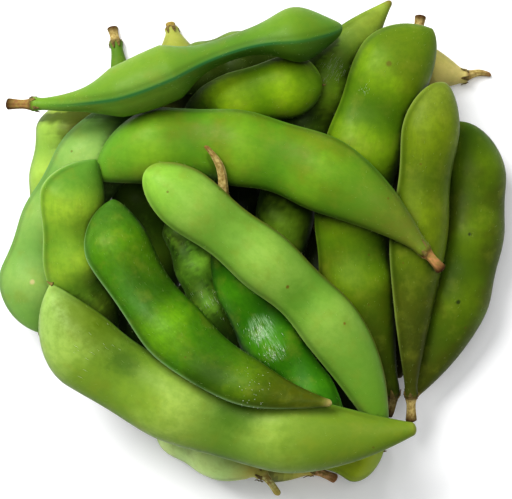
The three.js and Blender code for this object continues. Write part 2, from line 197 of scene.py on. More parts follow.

# Scars, bruises, a deeper green, shade painted in dents and a painted sheen on single pods, each at a
# place in plan with a radius in millimetres. soft is how far its edge fades, blend how much of its tint
# covers the skin, streaks combs it into lines.
scarsShadeAndSheen = {
    "pod_03": [dict(at=(-33.5, 24.4), radius=2.6, tint="7c741c", soft=1, blend=0.8)],
    "pod_09": [dict(at=(39, -11.7), radius=0.4, tint="2f3c12"),
               dict(at=(40.8, 1.2), radius=0.3, tint="2f3c12")],
    "pod_17": [dict(at=(-41.2, -7.1), radius=0.45, tint="c8bc84")],
    "pod_19": [dict(at=(24.5, 33), radius=0.5, tint="6a6a1c")],
    # A deeper green over the right end.
    "pod_23": [dict(at=(9, 41), radius=5, tint="5c841e", soft=0.8, blend=0.6)],
    # Painted sheen: pale streaked patches where the skin catches the light.
    "pod_24": [dict(at=(0.3, -15.4), radius=2.3, tint="a8cc9c", blend=0.5, streaks=True),
               dict(at=(3.2, -20.8), radius=1.9, tint="a0c890", blend=0.4, streaks=True)],
    "pod_25": [dict(at=(6.7, -9.3), radius=0.33, tint="7a5a20"),
               dict(at=(17.6, -15), radius=0.25, tint="86702a"),
               # Painted shade in a dent between two beans.
               dict(at=(7.8, -11.8), radius=2.6, tint="548422", soft=0.8, blend=0.8)],
    # Painted shade in the hollows of the skin.
    "pod_26": [dict(at=(-31, -12.6), radius=4.4, tint="60740a", soft=0.8, blend=0.95),
               dict(at=(-26.6, -17.4), radius=3.6, tint="546e0a", soft=0.8, blend=0.9),
               dict(at=(-23.2, -21.4), radius=2.6, tint="3a600e", soft=0.8, blend=0.9),
               dict(at=(-4.6, -31.4), radius=3.2, tint="426a12", soft=0.8, blend=0.85)],
    # Painted shade in a dent between two beans.
    "pod_27": [dict(at=(-9.6, -25.8), radius=3, tint="34500a", soft=0.8, blend=0.8)],
}


# Falls off on both sides of a place as e to the power minus the squared distance over the reach.
def bell(x, place, reach):
    return np.exp(-(((x - place) / reach) ** 2))


# The middle line at a share of the length: a parabola for the bow, a sine for the sway, a cube that
# carries the end over to the beak, another parabola for the sag, and a curl that dies out as the
# square of what is left of the stalk's bend.
def middleLine(pod, share):
    y = 4 * pod["bow"] * share * (1 - share) + pod["sway"] * np.sin(2 * np.pi * share)
    y = y - pod["beak"] * pod["width"] / 2 * share ** 3
    z = 4 * pod["sag"] * share * (1 - share)
    if pod["stem"] > 0:
        bend = np.maximum(0, 1 - share * pod["length"] / (form["stemBend"] * pod["stem"])) ** 2
        y = y + pod["curl"][0] * bend
        z = z + pod["curl"][1] * bend
    return y, z


# Share 1 over a bean and less between two: the sum of one bell for each bean, at most 1.
def fullness(pod, t):
    reach = form["beanReach"] / len(pod["beans"])
    return np.minimum(1, sum(bell(t, place, reach) for place in pod["beans"]))


# Half width, half thickness, sideways move and pinch of the section. On the stalk it is a circle that
# swells at both ends. On the body a sine raised to a power opens it from the neck, a quarter ellipse
# closes it at the beak, and the waist and pinch take some off between the beans.
def section(pod, share):
    stemShare = pod["stem"] / pod["length"]
    half = pod["width"] / 2
    t = np.clip((share - stemShare) / (1 - stemShare), 0, 1)
    rise = np.sin(np.pi / 2 * np.minimum(1, t / pod["taper"])) ** pod["slim"]
    past = np.clip((t - pod["shoulder"]) / (1 - pod["shoulder"]), 0, 1)
    fall = np.sqrt(1 - past ** 2)
    gone = 1 - fullness(pod, t)
    neck = pod["neck"] + (form["calyxSwell"] * bell(t, 0, form["collarReach"]) if pod["stem"] > 0 else 0)
    wide = (neck + (half * (1 - pod["waist"] * gone) - pod["neck"]) * rise) * fall
    thick = half * pod["plump"] * (1 - pod["pinch"] * gone)
    thick = (neck + (thick - pod["neck"]) * rise) * fall
    moved = pod["beak"] * half * (1 - fall)
    pinch = 1 + (form["seamSharpness"] - 1) * rise
    if pod["stem"] > 0:
        w = share / stemShare
        stalk = form["stemRadius"] + pod["scar"] * bell(w, 0, form["stalkEnd"])
        stalk = stalk + form["calyxSwell"] * bell(w, 1, form["stalkCollar"])
        onStalk = share < stemShare
        wide = np.where(onStalk, stalk, wide)
        thick = np.where(onStalk, stalk, thick)
        moved = np.where(onStalk, 0, moved)
        pinch = np.where(onStalk, 1, pinch)
    return wide, thick, moved, pinch


# Points of the surface for shares along (rows) and angles round (columns): an ellipse whose height is
# the sine raised to the pinch, turned, and set square to the middle line as seen from above.
def skin(pod, share, angle, push=0):
    y, z = middleLine(pod, share)
    step = 0.01
    ahead, behind = middleLine(pod, share + step)[0], middleLine(pod, share - step)[0]
    slope = (ahead - behind) / (2 * step * pod["length"])
    size = np.hypot(1, slope)
    wide, thick, moved, pinch = section(pod, share)
    across = (wide + push) * np.cos(angle)
    height = (thick + push) * np.sign(np.sin(angle)) * np.abs(np.sin(angle)) ** pinch
    turn = math.radians(pod["turn"])
    out = across * math.cos(turn) - height * math.sin(turn)
    up = across * math.sin(turn) + height * math.cos(turn)
    x = share * pod["length"] - out * slope / size
    return np.stack([x + 0 * angle, y + moved + out / size, z + up], axis=-1)


# The pose turns by roll about the length, then by tilt and by the heading, and stretches the length
# by one over the cosine of the tilt, so that both ends stay over their places.
def placed(pod, points, pose):
    tilt, roll, height, shiftX, shiftY = pose
    heading = math.atan2(pod["tip"][1] - pod["stalk"][1], pod["tip"][0] - pod["stalk"][0])
    x, y, z = points[..., 0], points[..., 1], points[..., 2]
    y, z = y * math.cos(roll) - z * math.sin(roll), y * math.sin(roll) + z * math.cos(roll)
    x, z = x - math.sin(tilt) * z, math.tan(tilt) * x + math.cos(tilt) * z
    east = math.cos(heading) * x - math.sin(heading) * y + pod["stalk"][0] + shiftX
    north = math.sin(heading) * x + math.cos(heading) * y + pod["stalk"][1] + shiftY
    return np.stack([east, north, z + height], axis=-1)


# The corners of the CAD solid in the pod's own frame: its rings, and one point at each end.
def solidCorners(pod):
    stemShare = pod["stem"] / pod["length"]
    first = [w * stemShare for w in form["stemRings"]] if pod["stem"] > 0 else [form["snappedEnd"]]
    k = np.arange(1, form["bodyRings"] + 1) / (form["bodyRings"] + 1)
    t = form["evenly"] * k + (1 - form["evenly"]) * np.sin(np.pi / 2 * k)
    share = np.concatenate([first, stemShare + (1 - stemShare) * t])[:, None]
    angle = 2 * np.pi * np.arange(form["sides"])[None, :] / form["sides"]
    y, z = middleLine(pod, np.zeros(1))
    ends = np.array([[0, y[0], z[0]], [pod["length"], 0, 0]])
    return np.concatenate([skin(pod, share, angle).reshape(-1, 3), ends])


# How a pod's pose is read from its solid.
fit = dict(
    sags=range(-3, 4),     # how far a pod may droop or arch at its middle
    rolls=(-12, -4, 4, 12),  # degrees, tried in turn
    steps=9,
    nudge=1e-4,            # the small change of one number that gives a slope
    offTable=0.02,         # corners below this height are cut flat by the table and aren't matched
    endCorners=8,          # the corners nearest to an end that give its height
    close=0.01,            # a fit as near as this is taken at once
)


# Gauss-Newton: each corner of the solid is matched with the nearest corner of the form, and the five
# numbers of the pose take the least-squares step, until the corners meet.
def fitPose(pod, corners, seen, pose):
    for attempt in range(fit["steps"]):
        now = placed(pod, corners, pose)
        near = ((seen[:, None, :] - now[None, :, :]) ** 2).sum(axis=2).argmin(axis=1)
        miss = (seen - now[near]).ravel()
        slopes = []
        for k in range(5):
            nudged = list(pose)
            nudged[k] += fit["nudge"]
            slopes.append(((placed(pod, corners[near], nudged) - now[near]) / fit["nudge"]).ravel())
        step = np.linalg.lstsq(np.array(slopes).T, miss, rcond=None)[0]
        pose = [old + change for old, change in zip(pose, step)]
    now = placed(pod, corners, pose)
    gaps = ((seen[:, None, :] - now[None, :, :]) ** 2).sum(axis=2).min(axis=1)
    return pose, math.sqrt(gaps.mean())


# Reads a pod's sag and pose off its CAD solid: starts from the mean heights at its two ends and keeps
# the closest fit of every sag and roll tried.
def readPose(pod, shift):
    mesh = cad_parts[pod["name"]].data
    flat = np.empty(len(mesh.vertices) * 3)
    mesh.vertices.foreach_get("co", flat)
    seen = np.unique((flat.reshape(-1, 3) / mm).round(4), axis=0)
    seen = seen[seen[:, 2] > fit["offTable"]]
    level = []
    for end in (pod["stalk"], pod["tip"]):
        away = np.hypot(seen[:, 0] - end[0] - shift[0], seen[:, 1] - end[1] - shift[1])
        level.append(seen[np.argsort(away)[:fit["endCorners"]], 2].mean())
    tilt = math.atan2(level[1] - level[0], pod["length"])
    best = (None, math.inf, 0)
    for sag in fit["sags"]:
        corners = solidCorners({**pod, "sag": sag})
        for roll in fit["rolls"]:
            pose, miss = fitPose(pod, corners, seen, [tilt, math.radians(roll), level[0], *shift])
            if miss < best[1]:
                best = (pose, miss, sag)
            if miss < fit["close"]:
                return best
    return best


# sRGB hex to linear light: the standard curve, with its straight foot under 0.04045.
def linear(hexColour):
    channels = [int(hexColour[i:i + 2], 16) / 255 for i in (0, 2, 4)]
    return tuple(c / 12.92 if c <= 0.04045 else ((c + 0.055) / 1.055) ** 2.4 for c in channels) + (1,)


# Adds a shader node, sets its properties, and fills each input with a value or a link. Gives its output.
def addNode(tree, kind, settings, inputs, output=0):
    made = tree.nodes.new("ShaderNode" + kind)
    for key, value in settings.items():
        setattr(made, key, value)
    for key, value in inputs.items():
        if isinstance(value, bpy.types.NodeSocket):
            tree.links.new(value, made.inputs[key])
        else:
            made.inputs[key].default_value = value
    return made.outputs[output]


# A new material, its node tree and its shader.
def newMaterial(name):
    material = bpy.data.materials.new(name)
    material.use_nodes = True
    return material, material.node_tree, material.node_tree.nodes["Principled BSDF"]


# What is painted on a pod's vertices and read by its skin.
fields = ("bean", "along", "foldShade", "flankShade", "under", "creaseShade", "seam", "rim", "stalk", "scar", "snap",
          "open")

# Cloudy patterns on the skin: size in millimetres, roughness and octaves.
clouds = dict(
    blush=(9, 0.5, 3),       # stretches of paler and deeper green
    bruise=(15, 0.55, 4),    # old or knocked skin
    yellowing=(4, 0.6, 4),
    mottle=(1.6, 0.65, 5),
    bark=(0.8, 0.7, 5),      # the dry stalk
    pebble=(0.5, 0.6, 4),    # the skin's own fine relief
)

# Patterns combed along the pod: how often they change in a millimetre along, across and through it.
# The second pattern combs the painted sheen into streaks.
combed = dict(fibre=(0.14, 1.7, 1), sheenComb=(0.4, 2.2, 1))

# Dots: the size of their cells and their radius in millimetres, and the share of cells left empty.
dots = dict(pore=(1.3, 0.2, 0.7), fleck=(3.1, 0.32, 0.93))

# How each pattern shows: what it reads, where in that it starts and stops, and what it gives there.
shows = dict(
    blush=("blush", 0.35, 0.7, 0, 0.32),
    bruise=("bruise", 0.46, 0.62, 0, 0.75),
    end=("along", 0.84, 1.0, 0, 0.8),
    mottle=("mottle", 0.35, 0.7, 0, 0.28),
    yellowing=("yellowing", 0.48, 0.72, 0, 0.3),
    fibre=("fibre", 0.4, 0.68, 0, 0.08),
    vein=("vein", 0.0, 0.08, 1, 0),
    uneven=("yellowing", 0.3, 0.62, 0.35, 1),   # the shade painted in the dents comes and goes with the yellowing
    # the streaks of the painted sheen
    sheenComb=("sheenComb", 0.42, 0.6, 0, 1),
    bark=("bark", 0.38, 0.62, 0, 1),
    # painted shade, nearly black where the heap closes over the skin
    closed=("open", 0.12, 0.5, 0.74, 0),
    gloss=("mottle", 0.3, 0.7, 0.36, 0.5),
)

skinShader = dict(
    ior=1.44,              # a waxy leaf
    specular=0.12,         # the down dulls the wax
    scatter=0.1,
    scatterReach=1.3,      # millimetres
    scatterColours=(0.6, 1.0, 0.25),
    relief=0.14,           # millimetres
    reliefStrength=0.4,
    beanShare=0.72,        # how much of a bean's paler green shows
    barkGloss=0.35,        # added to the roughness on the stalk
    veinSize=0.36,         # veins in a millimetre
)


# Edamame skin: satin, and a little clear. Yellow-green light comes through over each bean, the flesh
# between is deeper, bruised patches, pale pores, streaks of fibre and brown flecks break it up, the
# seams are paler or darker cords, and the stalk, the broken neck and the beak are dry tan and brown.
# Shade is painted into the dents between beans, onto the sides near the seams, onto the lower side of a
# pod on edge and along each seam, and painted shade turns the green nearly black where the heap closes
# over it. Marks add scars, shade painted in dents and a painted sheen.
def podSkin(name, look, marks):
    material, tree, shader = newMaterial(name)
    place = addNode(tree, "TexCoord", {}, {}, "Object")
    grain = addNode(tree, "Attribute", {"attribute_name": "grain"}, {}, "Vector")
    smooth = {"interpolation_type": "SMOOTHSTEP"}
    times = {"operation": "MULTIPLY", "use_clamp": True}
    timesPlus = {"operation": "MULTIPLY_ADD", "use_clamp": True}

    reads = {}
    for field in fields:
        reads[field] = addNode(tree, "Attribute", {"attribute_name": field}, {}, "Fac")
    for pattern, (size, roughness, octaves) in clouds.items():
        reads[pattern] = addNode(tree, "TexNoise", {}, {
            "Vector": place, "Scale": 1 / (size * mm), "Detail": octaves, "Roughness": roughness})
    for pattern, scale in combed.items():
        stretched = addNode(tree, "Mapping", {}, {"Vector": grain, "Scale": scale})
        reads[pattern] = addNode(tree, "TexNoise", {}, {
            "Vector": stretched, "Scale": 1.0, "Detail": 3, "Roughness": 0.6})
    reads["vein"] = addNode(tree, "TexVoronoi", {"feature": "DISTANCE_TO_EDGE"}, {
        "Vector": grain, "Scale": skinShader["veinSize"], "Randomness": 0.9})

    ranges = dict(shows, neck=("along", look["reach"], 0.1 * look["reach"], 0, 1))
    for dot, (size, radius, empty) in dots.items():
        reads[dot] = addNode(tree, "TexVoronoi", {}, {"Vector": place, "Scale": 1 / (size * mm)})
        cell = reads[dot].node.outputs["Color"]
        reads[dot + "Cell"] = addNode(tree, "SeparateColor", {}, {"Color": cell}, "Red")
        ranges[dot] = (dot, 0.5 * radius / size, radius / size, 1, 0)
        ranges[dot + "Cell"] = (dot + "Cell", empty, empty + 0.02, 0, 1)
    share = {}
    for part, (source, start, stop, low, high) in ranges.items():
        share[part] = addNode(tree, "MapRange", smooth, {
            "Value": reads[source], "From Min": start, "From Max": stop, "To Min": low, "To Max": high})
    products = dict(
        veinTint=(share["vein"], 0.02),
        poreTint=(share["pore"], share["poreCell"], 0.08),
        fleckTint=(share["fleck"], share["fleckCell"], 0.6),
        # Painted shade in the dents, on the sides near the seams, on a pod's lower side and beside each
        # seam.
        foldShadeTint=(reads["foldShade"], share["uneven"], 0.7),
        flankShadeTint=(reads["flankShade"], 0.1),
        underTint=(reads["under"], 0.8),
        creaseShadeTint=(reads["creaseShade"], 0.25),
        seamTint=(reads["seam"], 0.8),
        rimTint=(reads["rim"], 0.85),
        dryRelief=(reads["stalk"], reads["bark"]),
    )
    for part, factors in products.items():
        share[part] = factors[0]
        for factor in factors[1:]:
            share[part] = addNode(tree, "Math", times, {0: share[part], 1: factor})

    paler = addNode(tree, "Math", timesPlus, {
        0: reads["bean"], 1: skinShader["beanShare"], 2: share["blush"]})
    colour = addNode(tree, "MixRGB", {}, {
        "Fac": paler, "Color1": linear(look["shade"]), "Color2": linear(look["tone"])})
    layers = [(share["bruise"], look["patch"])] if "patch" in look else []
    layers += [
        (share["neck"], look["neck"]),
        (share["end"], look["end"]),
        (share["mottle"], look["shade"]),
        (share["yellowing"], "8c9630"),
        (share["fibre"], look["shade"]),
        (share["veinTint"], look["seam"]),
        (share["poreTint"], "c2d27c"),
        (share["fleckTint"], "6b5a1e"),
        # Painted shade in the dents, near the seams, on a pod's lower side and beside each seam.
        (share["foldShadeTint"], look["foldShade"]),
        (share["flankShadeTint"], "223c0c"),
        (share["underTint"], "1e4a0c"),
        (share["creaseShadeTint"], "1e360c"),
        (share["seamTint"], look["seam"]),
        (share["rimTint"], look["rim"]),
    ]
    for mark in marks:
        radius = mark["radius"] * mm
        soft = mark.get("soft", 0) * radius
        away = addNode(tree, "VectorMath", {"operation": "DISTANCE"}, {
            0: place, 1: Vector(mark["centre"]) * mm}, "Value")
        ragged = addNode(tree, "Math", timesPlus, {0: reads["mottle"], 1: -radius, 2: away})
        covers = addNode(tree, "MapRange", smooth, {
            "Value": ragged, "From Min": -soft, "From Max": radius + 0.5 * soft,
            "To Min": mark.get("blend", 0.9), "To Max": 0.0})
        # A painted sheen is combed into streaks.
        if "streaks" in mark:
            covers = addNode(tree, "Math", times, {0: covers, 1: share["sheenComb"]})
        layers.append((covers, mark["tint"]))
    bark = linear(look["husk"])
    for amount, tint in ((share["bark"], "9c8448"), (reads["scar"], look["cut"])):
        bark = addNode(tree, "MixRGB", {}, {"Fac": amount, "Color1": bark, "Color2": linear(tint)})
    # Last, painted shade: nearly black where the heap closes over the skin.
    layers += [(reads["stalk"], bark), (reads["snap"], look["snap"]), (share["closed"], "0a1404")]
    for amount, tint in layers:
        over = linear(tint) if isinstance(tint, str) else tint
        colour = addNode(tree, "MixRGB", {}, {"Fac": amount, "Color1": colour, "Color2": over})
    tree.links.new(colour, shader.inputs["Base Color"])

    satin = addNode(tree, "Math", timesPlus, {
        0: reads["stalk"], 1: skinShader["barkGloss"], 2: share["gloss"]})
    tree.links.new(satin, shader.inputs["Roughness"])
    shader.inputs["IOR"].default_value = skinShader["ior"]
    shader.inputs["Specular IOR Level"].default_value = skinShader["specular"]
    shader.inputs["Subsurface Weight"].default_value = skinShader["scatter"]
    shader.inputs["Subsurface Radius"].default_value = skinShader["scatterColours"]
    shader.inputs["Subsurface Scale"].default_value = skinShader["scatterReach"] * mm
    relief = 0.0
    for source, height in ((reads["pebble"], 0.3), (share["vein"], 0.05), (reads["fibre"], 0.12),
                           (share["dryRelief"], 0.8)):
        relief = addNode(tree, "Math", timesPlus, {0: source, 1: height, 2: relief})
    bump = addNode(tree, "Bump", {}, {
        "Height": relief, "Strength": skinShader["reliefStrength"], "Distance": skinShader["relief"] * mm})
    tree.links.new(bump, shader.inputs["Normal"])
    return material


# Dried calyx and style: matt tan fibre that darkens to brown in streaks.
def dryFibre():
    material, tree, shader = newMaterial("dry_calyx_fibre")
    place = addNode(tree, "TexCoord", {}, {}, "Object")
    streaks = addNode(tree, "TexNoise", {}, {
        "Vector": place, "Scale": 1 / (0.8 * mm), "Detail": 4, "Roughness": 0.7})
    share = addNode(tree, "MapRange", {}, {"Value": streaks, "From Min": 0.35, "From Max": 0.65})
    colour = addNode(tree, "MixRGB", {}, {
        "Fac": share, "Color1": linear("8c7a3c"), "Color2": linear("4e3e1c")})
    tree.links.new(colour, shader.inputs["Base Color"])
    shader.inputs["Roughness"].default_value = 0.85
    bump = addNode(tree, "Bump", {}, {"Height": streaks, "Strength": 0.5, "Distance": 0.1 * mm})
    tree.links.new(bump, shader.inputs["Normal"])
    return material


# Down on the skin: pale hairs, greener in some places and whiter in others, that catch the light.
def downHair(name, deep, pale):
    material, tree, shader = newMaterial(name)
    place = addNode(tree, "TexCoord", {}, {}, "Object")
    share = addNode(tree, "TexNoise", {}, {"Vector": place, "Scale": 1 / (4 * mm), "Detail": 2})
    colour = addNode(tree, "MixRGB", {}, {
        "Fac": share, "Color1": linear(deep), "Color2": linear(pale)})
    tree.links.new(colour, shader.inputs["Base Color"])
    shader.inputs["Roughness"].default_value = 0.45
    return material


# Quads between neighbouring rows of rings that close on themselves, and a fan of triangles at each
# end round one point. Rows of points run first, then the start point and the end point.
def sweptFaces(rows, columns, offset=0):
    i = np.arange(columns)
    j = (i + 1) % columns
    base = (np.arange(rows - 1) * columns)[:, None]
    quads = np.stack([base + i, base + j, base + columns + j, base + columns + i], axis=-1).reshape(-1, 4)
    start, end = rows * columns, rows * columns + 1
    last = (rows - 1) * columns
    fanA = np.stack([np.full(columns, start), j, i], axis=-1)
    fanB = np.stack([np.full(columns, end), last + i, last + j], axis=-1)
    return (quads + offset).tolist() + (np.concatenate([fanA, fanB]) + offset).tolist()


# The shares along the pod where the fine rows stand: close together on the rounded end of the stalk,
# evenly over the body, and by equal angles of the quarter ellipse at the beak.
def fineShares(pod):
    stemShare = pod["stem"] / pod["length"]
    cap = detail["capLength"] / pod["length"]
    start = cap * (1 - np.cos(np.linspace(0.25, np.pi / 2, detail["capRows"], endpoint=False)))
    stalk = np.linspace(cap, stemShare, detail["stalkRows"], endpoint=False) if pod["stem"] > 0 else []
    first = stemShare if pod["stem"] > 0 else cap
    shoulder = stemShare + (1 - stemShare) * pod["shoulder"]
    body = np.linspace(first, shoulder, detail["bodyRows"], endpoint=False)
    arc = np.linspace(0, np.pi / 2 - 0.04, detail["beakRows"])
    return np.concatenate([start, stalk, body, shoulder + (1 - shoulder) * np.sin(arc)])


# A slow unevenness over the skin: the sum of a few sines along and round, with seeded phases.
def lumps(random, along, angle, length):
    total = 0
    for k in range(detail["lumpWaves"]):
        turns = random.integers(0, 3)
        waves = 2 * np.pi * along * length / (detail["lumpLength"] * random.uniform(0.7, 1.6))
        total = total + np.cos(waves + turns * angle + random.uniform(0, 2 * np.pi))
    return total / detail["lumpWaves"]


# How far what is painted reaches from its place, in millimetres.
reaches = dict(
    seam=0.34,             # the cord's own colour
    creaseShade=1.0,            # the shade painted along a line beside a seam
    creaseShadeWide=0.5,
    # the shade painted on the sides near the seams
    flankShade=2.4,
    stalkPast=0.5,         # the bark runs past the stalk's own length
    scar=1.3,              # brown at the stalk's outer end
    neckScar=0.6,          # and round the calyx
    snap=0.9,
)


# The pod's surface, its ends and what is painted on it: how near a bean, dent, seam, stalk or scar a
# point is, which side of the pod it is on, how far along it lies, where shade is painted, and its
# millimetres along and across for fibres and veins. The stalk's outer end is rounded by a quarter
# circle, and thinned by the square root of the way to it.
def finePod(pod, look, random):
    share = fineShares(pod)[:, None]
    u = 2 * np.pi * np.arange(detail["columns"])[None, :] / detail["columns"]
    angle = u - detail["gather"] * np.sin(2 * u)
    stemShare = pod["stem"] / pod["length"]
    t = np.clip((share - stemShare) / (1 - stemShare), 0, 1)
    wide, thick, moved, pinch = section(pod, share)
    body = np.clip(t / pod["taper"] * 2, 0, 1) * np.sqrt(np.clip((1 - t) / detail["beakFade"], 0, 1))
    side = np.hypot(wide * (1 - np.abs(np.cos(angle))), thick * np.abs(np.sin(angle)) ** pinch)
    cord = detail["seamHeight"] * bell(side, 0, detail["seamWidth"])
    cord = cord - detail["grooveDepth"] * bell(side, 0, detail["grooveWidth"])
    middle = (t > pod["beans"][0]) & (t < pod["beans"][-1])
    dent = detail["dent"] * middle * (1 - fullness(pod, t)) * (0.4 + 0.6 * np.sin(angle) ** 2)
    uneven = detail["lump"] * lumps(random, share, angle, pod["length"]) * np.abs(np.sin(angle))
    ribs = np.cos(detail["stalkRibs"] * angle + detail["ribTwist"] * share) * (share < stemShare)
    points = skin(pod, share, angle, (cord + uneven - dent) * body + detail["stalkRib"] * ribs)
    cap = detail["capLength"] / pod["length"]
    rounding = np.sqrt(1 - np.clip(1 - share / cap, 0, 1) ** 2)
    y, z = middleLine(pod, share)
    axis = np.stack([share * pod["length"] + 0 * y, y, z], axis=-1)
    upStalk = np.clip(share / max(stemShare, cap), 0, 1)
    thin = 1 - (1 - look["thin"]) * np.sqrt(1 - upStalk)
    points = axis + (points - axis) * (rounding * thin)[..., None]
    points[..., 1] += look["hook"] * np.sin(np.pi * upStalk)
    startY, startZ = middleLine(pod, np.zeros(1))
    ends = np.array([[0, startY[0], startZ[0]], [pod["length"], 0, 0]])
    barkEnd = pod["stem"] + reaches["stalkPast"]
    along = share * pod["length"]
    left = np.cos(angle) > 0
    inner = np.sign(pod["beak"]) * np.cos(angle)
    between = middle * (1 - fullness(pod, t)) ** 2
    shadedSide = np.clip(look["under"] * np.sin(angle), 0, 1)
    scar = bell(along, 0, reaches["scar"]) + 0.85 * bell(along, pod["stem"], reaches["neckScar"])
    painted = dict(
        bean=fullness(pod, t) * np.abs(np.sin(angle)) ** 0.5 * body,
        seam=bell(side, 0, reaches["seam"]) * body * left,
        rim=bell(side, 0, look["cord"]) * body * ~left,
        # Painted shade: beside each seam, in the dents, near the seams and on a pod's lower side.
        creaseShade=bell(side, reaches["creaseShade"], reaches["creaseShadeWide"]) * body,
        foldShade=between * np.abs(np.sin(angle)) ** 0.7 * (0.6 + 0.4 * inner),
        flankShade=bell(side, 0, reaches["flankShade"]) * body,
        under=np.sqrt(shadedSide) * np.clip(2.6 * t - 0.7, 0, 1) * body,
        stalk=np.clip(barkEnd - along, 0, 1) * (pod["stem"] > 0) + 0 * angle,
        scar=np.clip(scar, 0, 1) + 0 * angle,
        snap=0.9 * bell(along, 0, reaches["snap"]) * (pod["stem"] == 0) + 0 * angle,
        along=t + 0 * angle,
    )
    across = 1.5 * side * np.sign(np.sin(angle))
    ownPlace = 40 * random.random()  # so that no two pods have the same fibres
    grain = np.stack([along + 0 * side, across, ownPlace + 0 * side], axis=-1)
    return points, ends, painted, grain


# The map of heights that tells how far the heap closes over a point, for the shade painted on the skin.
# A cell's size and the reaches are millimetres, and middle is the number of cells from the heap's middle
# to the map's border.
sky = dict(cell=0.8, middle=75, directions=12, reaches=(1.2, 2.2, 3.6, 5.6))


# The highest skin in each square cell, seen from above.
def heightMap(bodies):
    heights = np.zeros((2 * sky["middle"], 2 * sky["middle"]))
    for body in bodies:
        flat = body.reshape(-1, 3)
        cells = (flat[:, :2] / sky["cell"] + sky["middle"]).astype(int)
        np.maximum.at(heights, (cells[:, 1], cells[:, 0]), flat[:, 2])
    return heights


# How open the heap is above each point: 1 less the mean, over directions, of the squared sine of the
# angle up to the highest skin within reach.
def openness(points, heights):
    closed = 0
    for turn in 2 * np.pi * np.arange(sky["directions"]) / sky["directions"]:
        slope = 0
        for reach in sky["reaches"]:
            column = ((points[..., 0] + reach * math.cos(turn)) / sky["cell"] + sky["middle"]).astype(int)
            row = ((points[..., 1] + reach * math.sin(turn)) / sky["cell"] + sky["middle"]).astype(int)
            slope = np.maximum(slope, (heights[row, column] - points[..., 2]) / reach)
        closed = closed + slope ** 2 / (1 + slope ** 2)
    return 1 - closed / sky["directions"]


tubeSides = 8              # columns of each style and calyx lobe


# A closed tube along a path: its section is as wide across and as thick upward as two lists say.
def taperedTube(path, across, upward, wide, thick):
    angle = 2 * np.pi * np.arange(tubeSides) / tubeSides
    ring = (path[:, None, :] + across[:, None, :] * (wide[:, None] * np.cos(angle))[..., None]
            + upward[:, None, :] * (thick[:, None] * np.sin(angle))[..., None])
    return np.concatenate([ring.reshape(-1, 3), path[:1], path[-1:]])


# The dried style, in millimetres.
style = dict(rows=9, sunk=0.5, hook=0.3, rise=0.1, radius=0.3, foot=0.25, footReach=0.22, point=0.03)


# The dried style: a fine stub that leaves the beak along the pod and hooks towards the inner seam. Its
# radius falls as what is left of its length to a power, with a bell added for the foot.
def nib(pod, look, random):
    s = np.linspace(0, 1, style["rows"])
    hook = np.sign(pod["beak"]) if pod["beak"] else 1.0
    start = pod["length"] - style["sunk"]
    length = style["sunk"] + look["nib"] * random.uniform(0.85, 1.15)
    path = np.stack([start + s * length, hook * style["hook"] * s ** 2, style["rise"] * s], axis=-1)
    foot = style["foot"] * bell(s, 0, style["footReach"])
    radius = style["radius"] * (1 - s) ** 0.7 + foot + style["point"]
    up = np.tile([0.0, 0.0, 1.0], (len(s), 1))
    across = np.tile([0.0, 1.0, 0.0], (len(s), 1))
    return taperedTube(path, across, up, radius, radius), len(s)


# The dry calyx lobes round the neck, in millimetres.
calyx = dict(lobes=5, rows=8, length=1.5, width=0.5, thick=0.1, sunk=0.4, clear=0.05, lift=0.3)


# One calyx lobe: a thin pointed strap that starts at the collar, lies along the neck and lifts at its
# tip. Its half width runs as the square root of what is left of its length.
def lobe(pod, angle, random):
    s = np.linspace(0, 1, calyx["rows"])
    length = calyx["length"] * random.uniform(0.75, 1.2)
    share = (pod["stem"] - calyx["sunk"] + s * length) / pod["length"]
    y, z = middleLine(pod, share)
    wide, thick, moved, pinch = section(pod, share)
    lift = calyx["clear"] + calyx["lift"] * s ** 3 * random.uniform(0.2, 1.4)
    outward = np.array([0.0, math.cos(angle), math.sin(angle)])
    path = np.stack([share * pod["length"], y + moved, z], axis=-1)
    path = path + outward * (np.hypot(wide * math.cos(angle), thick * math.sin(angle)) + lift)[:, None]
    across = np.tile([0.0, -math.sin(angle), math.cos(angle)], (len(s), 1))
    half = calyx["width"] * np.sqrt(1.02 - s)
    thickness = np.full(len(s), calyx["thick"])
    return taperedTube(path, across, np.tile(outward, (len(s), 1)), half, thickness), len(s)


# Down: hairs on a pod, and their length and radius. No hair stands on the stalk's or the beak's rows.
coat = dict(count=330, length=0.55, thick=0.013, lift=0.5, stalkRows=18, beakRows=6)

# Places where the down is matted into pale strokes, drawn white as a painted glint where they catch the
# light.
glints = {
    "pod_14": [dict(at=(16.2, 33), reach=1.7, count=44, length=1.3, thick=0.022)],
    "pod_15": [dict(at=(-7.4, -10.2), reach=2.4, count=26, length=1.0, thick=0.03)],
    "pod_19": [dict(at=(19.7, 28), reach=0.9, count=16, length=0.5, thick=0.025)],
    "pod_24": [dict(at=(0.3, -15.6), reach=1.7, count=90, length=0.8, thick=0.026),
               dict(at=(3.2, -20.8), reach=1.4, count=60, length=0.7, thick=0.026)],
    "pod_26": [dict(at=(-29.5, -21), reach=3.2, count=14, length=0.8, thick=0.026)],
    "pod_27": [dict(at=(0.6, -25.6), reach=3.2, count=44, length=0.22, thick=0.08, lift=0.9)],
}


